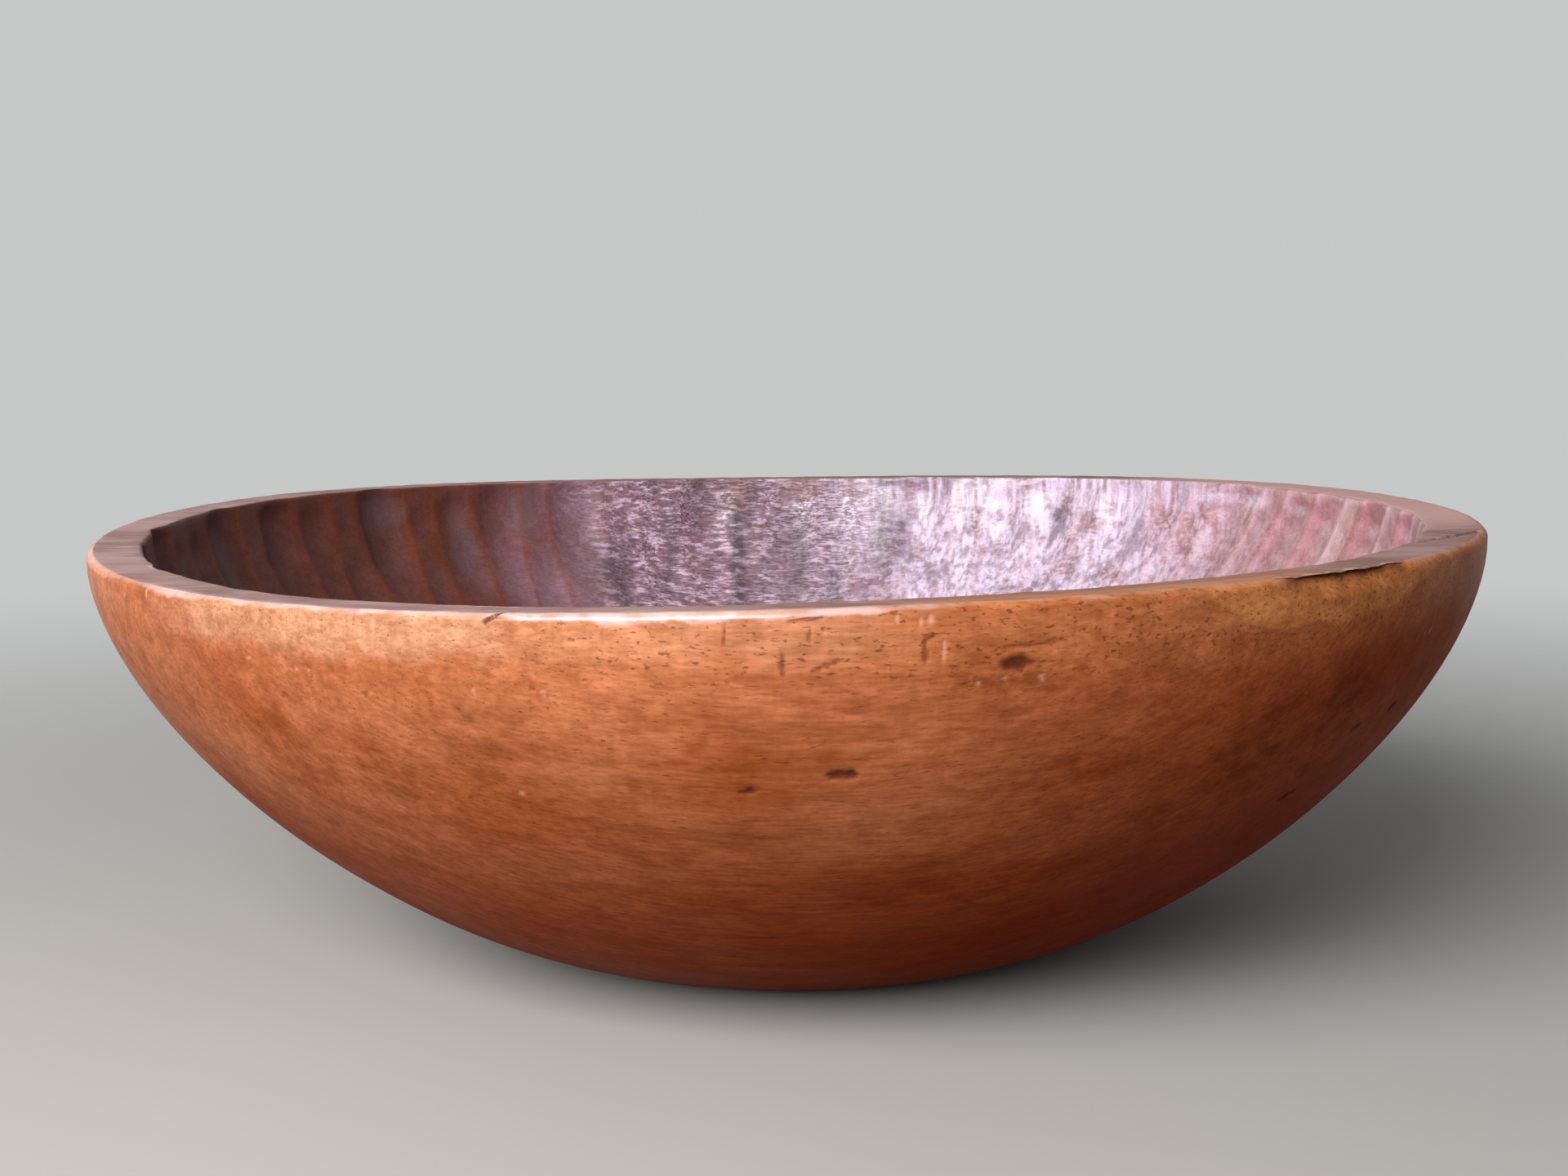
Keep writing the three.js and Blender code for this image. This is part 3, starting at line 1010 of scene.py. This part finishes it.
polished, tree, shader = new_finish("polished_outside")
clouds = wood_noise((14, 20, 20))
streaks = wood_noise((16, 150, 150), roughness=0.6, distortion=0.4)
mottle = wood_noise((110, 170, 170), roughness=0.6)
fibres = wood_noise((100, 800, 800), detail=3, roughness=0.6, distortion=0.3)
scrapes = wood_noise((600, 600, 50), detail=2)
pores = wood_noise((260, 1600, 1600), detail=1)
open_pores = wood_noise((420, 900, 900), detail=2)
ragged = wood_noise((90, 90, 90), roughness=0.6)
print("outside patterns have", len(tree.nodes), "nodes")

# %% Colour of the outside
colour = blend(spread(clouds, 0.40, 0.70, 0.0, 0.85), LACQUER, LACQUER_RED)
# Painted shade: darker and redder low down and on the side away from the light
colour = tinted(colour, "painted_shade", 0.8, LACQUER_SHADE)
# Smudges, and painted shadows and shade
colour = tinted(colour, "stain_and_shade", spread(mottle, 0.35, 0.6, 0.6, 0.25), STAIN_AND_SHADE)
soft_place = plus(stored("down"), spread(ragged, 0.3, 0.7, -0.002, 0.002))
sunny_edge = stored("sunny_edge")
highlit_edge = stored("highlit_edge")
# Where the light falls on the left front, the worn band is painted paler, partly as painted highlight
thinness_and_light = larger(shared(sunny_edge, 0.0, 0.75), shared(highlit_edge, 0.08, 0.36))
thin_lacquer_and_highlight = times(spread(soft_place, 0.005, 0.014, 1.0, 0.0), thinness_and_light)
colour = blend(thin_lacquer_and_highlight, colour, WORN_TAN_AND_HIGHLIGHT)
colour = tinted(colour, "open_grain", shared(highlit_edge, 0.36, 0.0), OPEN_GOLD)
inside_band = plus(stored("bare_band"), spread(ragged, 0.3, 0.7, -0.0006, 0.0006))
band_edge = spread(inside_band, -0.0012, 0.0014)
bare_band = times(band_edge, spread(inside_band, 0.0, 0.008, 0.5, 0.4))
colour = blend(bare_band, colour, BAND_TAN)

colour = toned(colour, streaks, 0.35, 0.65, 0.5)
colour = toned(colour, mottle, 0.32, 0.68, 0.45)
colour = toned(colour, fibres, 0.3, 0.7, 0.68)
colour = toned(colour, scrapes, 0.3, 0.7, 0.22)
colour = blend(spread(pores, 0.64, 0.76, 0.0, 0.6), colour, PORE)
colour = tinted(colour, "open_grain", spread(open_pores, 0.60, 0.70, 0.0, 0.65), PORE)

up_edge = plus(stored("up_edge"), spread(ragged, 0.3, 0.7, -0.0008, 0.0008))
up_edge = plus(up_edge, shared(highlit_edge, -0.0022, 0.0))
up_edge = plus(up_edge, shared(sunny_edge, 0.0, -0.0018))
rounded = spread(up_edge, -0.0006, 0.0012)
worn = times(rounded, spread(mottle, 0.35, 0.6, 0.4, 0.95))
# The worn rounded edge is painted paler where the light falls, as painted highlight
colour = blend(worn, colour, blend(highlit_edge, EDGE_TAN, EDGE_BARE_AND_HIGHLIGHT))
colour = tinted(colour, "scratch", 0.55, PORE)
# Chips, and the painted shadow under the torn lip
colour = tinted(colour, "chip_and_lip_shade", 0.85, CHIP_AND_LIP_SHADE)
colour = tinted(colour, "fleck", 0.55, FLECK)
print("outside colour brings them to", len(tree.nodes), "nodes")

# %% Gloss of the outside
duller = shared(stored("painted_shade"), 0.0, 0.12)
roughness = plus(spread(clouds, 0.3, 0.7, 0.40, 0.52), duller)
polished_edge = times(rounded, shared(highlit_edge, 0.1, 1.0))
polished_wall = spread(stored("down"), 0.004, 0.045, 1.0, 0.0)
polished_wall = times(polished_wall, shared(highlit_edge, 0.05, 0.3))
coat = larger(polished_edge, polished_wall)
grain = raised(fibres, 0.12, 0.0006)
skin = raised(mottle, 0.08, 0.0008, below=grain)
fill(shader, {'Base Color': colour, 'Roughness': roughness, 'Specular IOR Level': 0.04, 'Coat Weight': coat,
              'Coat Roughness': 0.22, 'Normal': skin})
print("outside finish has", len(tree.nodes), "nodes")

# %% [markdown]
# ## The dry rim
#
# The flat top of the rim has lost its lacquer. It is a dry mauve grey with open grain, darker where a
# crack or a chip has let dirt in, paler along its worn outer edge, most of all on the left front where
# that paleness is partly a painted highlight, and tan at its thick end. On one short stretch at the front
# some lacquer is left, with dirt along the inner edge.

# %% Rim finish
RIM_DRY = srgb(172, 136, 132)
RIM_BROWN = srgb(138, 100, 92)
RIM_PALE = srgb(200, 170, 166)
RIM_TAN = srgb(222, 174, 168)
RIM_WARM = srgb(196, 130, 86)

dry, tree, shader = new_finish("dry_rim")
streaks = wood_noise((40, 420, 420), roughness=0.65, distortion=0.3)
clouds = wood_noise((30, 40, 40))
colour = blend(spread(clouds, 0.35, 0.65), RIM_DRY, RIM_BROWN)
colour = blend(stored("rose"), colour, RIM_TAN)
colour = blend(spread(streaks, 0.48, 0.72, 0.0, 0.7), colour, RIM_PALE)
colour = blend(spread(streaks, 0.28, 0.42, 0.6, 0.0), colour, RIM_BROWN)
colour = blend(spread(stored("wax"), 0.2, 0.9, 0.0, 0.12), colour, RIM_BROWN)
colour = tinted(colour, "warm_rim", spread(streaks, 0.36, 0.56, 0.35, 0.75), RIM_WARM)
dirty_edge = spread(stored("up_edge"), 0.0085, 0.0120, 0.0, 0.6)
colour = tinted(colour, "warm_rim", dirty_edge, RIM_BROWN)
# Painted highlight: the outer band of the rim top is paler where the light falls
near_edge = spread(stored("up_edge"), 0.0045, 0.0070, 0.6, 0.0)
near_edge = times(near_edge, shared(stored("sunny_edge"), 1.0, 0.3))
colour = tinted(colour, "highlit_edge", near_edge, EDGE_BARE_AND_HIGHLIGHT)
colour = tinted(colour, "scratch", 0.7, CHIP_AND_LIP_SHADE)
# Chips, and the painted shadow under the torn lip
colour = tinted(colour, "chip_and_lip_shade", 0.85, CHIP_AND_LIP_SHADE)
colour = tinted(colour, "fleck", 0.8, FLECK)
roughness = spread(streaks, 0.3, 0.7, 0.6, 0.75)
grain = raised(streaks, 0.3, 0.0006)
fill(shader, {'Base Color': colour, 'Roughness': roughness, 'Specular IOR Level': 0.1, 'Normal': grain})
print("rim finish has", len(tree.nodes), "nodes")

# %% [markdown]
# ## The waxed hollow
#
# The hollow is a dark reddish brown at one end and a dusty pink at the other, and the change between them
# is partly painted light and shade: the wall that faces away from the light is painted darker and the lit
# walls paler. At the pink end one flank of each flute is painted paler and the other darker, as painted
# light and shade, and the troughs of the chatter waves are painted darker. It is rusty along the dark
# ridges, and the valleys of some flutes are painted darker, as painted shade. Across the back the gouge
# tore the grain, which shows as dark dashes between pale scuffs on the ridges. Salad oil has left a wax
# on the side that was wiped most, with a lilac bloom in it; the pale lilac is partly a painted sheen
# where the wax shines in the light. The wax is a clear coat whose weight follows a mask, so that wall
# turns pale wherever it faces the light, and the other walls stay dark.

# %% Patterns of the hollow
HOLLOW_SHADED_BROWN = srgb(100, 55, 44)
HOLLOW_LIT_MAUVE = srgb(152, 118, 134)
HOLLOW_PINK = srgb(174, 120, 126)
HOLLOW_RUST = srgb(122, 62, 38)
HOLLOW_VALLEY_SHADE = srgb(80, 67, 73)
HOLLOW_HAZE = srgb(106, 94, 102)
HOLLOW_TAN = srgb(172, 128, 110)
RIDGE_PALE_AND_HIGHLIGHT = srgb(222, 178, 186)
SCUFF = srgb(220, 192, 210)
BLOOM_AND_SHEEN = srgb(226, 210, 235)
BLOOM_AND_SHEEN_GREY = srgb(146, 126, 146)
TORN = srgb(74, 52, 60)

gouged, tree, shader = new_finish("waxed_hollow")
clouds = wood_noise((12, 22, 22))
patches = wood_noise((70, 40, 60), detail=5, roughness=0.65)
scuffs = wood_noise((120, 300, 420), detail=5, roughness=0.7)
scrub = wood_noise((420, 420, 45), detail=3, roughness=0.6)
blotches = wood_noise((90, 90, 38), roughness=0.6)
dashes = wood_noise((210, 1250, 1250), detail=3, roughness=0.6, distortion=0.2)
torn_place = stored("torn_grain")
bloom_and_sheen_place = stored("bloom_and_sheen")
print("hollow patterns have", len(tree.nodes), "nodes")

# %% Colour of the hollow
pink_and_light_place = stored("pink_and_light")
ridge = stored("ridge")
# Painted light and shade: darker brown on the wall away from the light, paler mauve on the lit walls
pinkness_and_light = plus(pink_and_light_place, spread(clouds, 0.3, 0.7, -0.06, 0.06))
colour = blend(spread(pinkness_and_light, 0.0, 0.38), HOLLOW_SHADED_BROWN, HOLLOW_LIT_MAUVE)
colour = blend(stored("rose"), colour, HOLLOW_PINK)
rusty_side = spread(pink_and_light_place, 0.1, 0.45, 0.62, 0.0)
rust = times(spread(ridge, 0.4, 1.0), rusty_side)
colour = blend(rust, colour, HOLLOW_RUST)
colour = toned(colour, patches, 0.36, 0.64, 0.4)
colour = toned(colour, scuffs, 0.36, 0.64, 0.35)
# Painted light and shade on the flutes: at the pink end one flank paler and the other darker, the ridges
# paler along it, partly as painted highlight, and the chatter troughs darker
flank_shading = stored("flank_shading")
rubbed_and_shaded_side = spread(pink_and_light_place, 0.6, 0.9, 0.0, 0.65)
rubbed_and_lit_ridge = times(ridge, rubbed_and_shaded_side)
colour = blend(times(rubbed_and_lit_ridge, flank_shading), colour, RIDGE_PALE_AND_HIGHLIGHT)
colour = toned(colour, stored("crest"), 0.1, 0.9, 0.3)
colour = toned(colour, flank_shading, 0.0, 1.0, rubbed_and_shaded_side)
# Painted shade in the valleys of the flutes
valley_shade = times(stored("valley_shade"), spread(patches, 0.35, 0.6, 0.35, 1.0))
colour = blend(times(valley_shade, 0.3), colour, HOLLOW_VALLEY_SHADE)
# Painted sheen, partly real bloom: pale lilac where the far wall shines
wiped_bloom_and_sheen = times(bloom_and_sheen_place, spread(scrub, 0.35, 0.62, 0.3, 1.0))
wiped_bloom_and_sheen = times(wiped_bloom_and_sheen, spread(patches, 0.36, 0.54, 0.25, 1.0))
colour = blend(wiped_bloom_and_sheen, colour, BLOOM_AND_SHEEN)
rubbed_place = larger(torn_place, bloom_and_sheen_place)
rubbed_place = times(rubbed_place, spread(valley_shade, 0.1, 0.7, 1.0, 0.35))
scuffed = times(rubbed_place, spread(scuffs, 0.47, 0.61, 0.0, 0.85))
colour = blend(scuffed, colour, SCUFF)
colour = tinted(colour, "bare", spread(scuffs, 0.35, 0.6, 0.4, 0.9), HOLLOW_TAN)
# More painted shade in the valleys across the torn grain
torn_valley_shade = times(valley_shade, times(torn_place, 0.45))
colour = blend(torn_valley_shade, colour, HOLLOW_VALLEY_SHADE)
colour = tinted(colour, "bloom_and_sheen", spread(blotches, 0.34, 0.46, 0.85, 0.0), BLOOM_AND_SHEEN_GREY)
colour = tinted(colour, "haze", spread(scuffs, 0.40, 0.62, 1.0, 0.35), HOLLOW_HAZE)
torn = times(torn_place, spread(dashes, 0.48, 0.6))
torn = times(torn, spread(patches, 0.38, 0.6, 0.3, 0.7))
colour = blend(torn, colour, TORN)
# Painted shade in the listed valley spots
colour = tinted(colour, "valley", spread(scuffs, 0.40, 0.62, 0.75, 0.4), HOLLOW_VALLEY_SHADE)
colour = tinted(colour, "glint", spread(scuffs, 0.35, 0.55, 0.4, 0.9), BLOOM_AND_SHEEN)
colour = toned(colour, dashes, 0.7, 0.3, 0.45)
colour = toned(colour, scrub, 0.3, 0.7, 0.3)
print("hollow colour brings them to", len(tree.nodes), "nodes")

# %% Gloss of the hollow
roughness = spread(patches, 0.35, 0.65, 0.42, 0.6)
wax = times(stored("wax"), spread(scuffs, 0.35, 0.6, 0.5, 1.0))
fibres = raised(torn, 0.6, -0.0005)
scrapes = raised(scrub, 0.15, 0.0006, below=fibres)
skin = raised(patches, 0.12, 0.0012, below=scrapes)
fill(shader, {'Base Color': colour, 'Roughness': roughness, 'Specular IOR Level': 0.15, 'Coat Weight': wax,
              'Coat Roughness': 0.34, 'Normal': skin, 'Coat Normal': skin})
print("hollow finish has", len(tree.nodes), "nodes")

# %% [markdown]
# ## Dress the bowl
#
# The lacquer wraps over the rounded edge and ends where the flat of the rim begins, and the rim ends at
# the brink of the hollow. The stored value that runs from outside to hollow picks the finish of
# each face. The finished bowl then stands for the plain solid.

# %% Put the finishes on
FINISH_STARTS = (0.2, 0.94)

for finish in (polished, dry, gouged):
    carved_data.materials.append(finish)
hollow_values = carved_data.attributes["hollow"].data
for polygon in carved_data.polygons:
    share = sum(hollow_values[index].value for index in polygon.vertices) / len(polygon.vertices)
    polygon.material_index = sum(share > start for start in FINISH_STARTS)
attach(carved_bowl, "root")
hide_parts("bowl")
print("bowl is dressed")

# %% [markdown]
# ## Floor and light
#
# The floor is a plain pale disc that dissolves into the background, so there is no horizon. Light that
# bounces off it is dimmer than it looks, as it would be off a plank table, so the underside of the bowl
# stays deep. One soft light stands at the left in front and a weak one fills the right, which leaves
# the left wall of the hollow in shade and gives the far wall its shine. A third one, low behind the bowl,
# lights its back.

# %% Floor
FLOOR_RADIUS = 1.1
FLOOR_SIDES = 96
FLOOR_FADE_START = 0.25
FLOOR_PALE = srgb(190, 188, 184)
FLOOR_BOUNCE = srgb(92, 82, 74)
BACKGROUND = srgb(198, 200, 200)


def seen_directly():
    """One for rays from the camera, a mirror or glass, and zero for bounced light."""
    path = tree.nodes.new('ShaderNodeLightPath')
    mirror = larger(path.outputs['Is Glossy Ray'], path.outputs['Is Transmission Ray'])
    return larger(path.outputs['Is Camera Ray'], mirror)


floor_mesh = bmesh.new()
bmesh.ops.create_circle(floor_mesh, cap_ends=True, radius=FLOOR_RADIUS, segments=FLOOR_SIDES)
floor_data = bpy.data.meshes.new("floor")
floor_mesh.to_mesh(floor_data)
floor_mesh.free()
floor = linked("floor", floor_data)
pale, tree, shader = new_finish("pale_floor")
colour = blend(seen_directly(), FLOOR_BOUNCE, FLOOR_PALE)
place = tree.nodes.new('ShaderNodeTexCoord')
length = tree.nodes.new('ShaderNodeVectorMath')
length.operation = 'LENGTH'
fill(length, {0: place.outputs['Object']})
solid_share = spread(length.outputs['Value'], FLOOR_FADE_START, FLOOR_RADIUS, 1.0, 0.0)
fill(shader, {'Base Color': colour, 'Roughness': 0.9, 'Specular IOR Level': 0.1, 'Alpha': solid_share})
floor_data.materials.append(pale)
print("floor reaches", FLOOR_RADIUS, "m")

# %% Light
# Each light: its place, its width and height, and its power
LIGHTS = {
    "left_key": (Vector((-0.73, -1.34, 0.85)), (1.3, 0.95), 46),
    "right_fill": (Vector((1.1, -1.6, 1.0)), (1.4, 1.4), 3.5),
    "back_fill": (Vector((-1.1, 1.6, 0.5)), (1.4, 0.9), 8),
}
AIM = Vector((0, 0, 0.1))
WORLD_COLOUR = (0.92, 0.96, 1.0, 1.0)
WORLD_STRENGTH = 0.11

for name, (place, size, power) in LIGHTS.items():
    light_data = bpy.data.lights.new(name, 'AREA')
    light_data.shape = 'RECTANGLE'
    light_data.size, light_data.size_y = size
    light_data.energy = power
    lamp = linked(name, light_data)
    lamp.location = place
    lamp.rotation_euler = (AIM - place).to_track_quat('-Z', 'Y').to_euler()

world = bpy.data.worlds.new("pale_room")
bpy.context.scene.world = world
world.use_nodes = True
tree = world.node_tree
ambient = tree.nodes['Background']
fill(ambient, {'Color': WORLD_COLOUR, 'Strength': WORLD_STRENGTH})
backdrop = tree.nodes.new('ShaderNodeBackground')
fill(backdrop, {'Color': BACKGROUND})
both = tree.nodes.new('ShaderNodeMixShader')
fill(both, {'Fac': seen_directly(), 1: ambient.outputs['Background'], 2: backdrop.outputs['Background']})
fill(tree.nodes['World Output'], {'Surface': both.outputs['Shader']})
bpy.context.scene.view_settings.view_transform = 'Standard'
print("light is set")
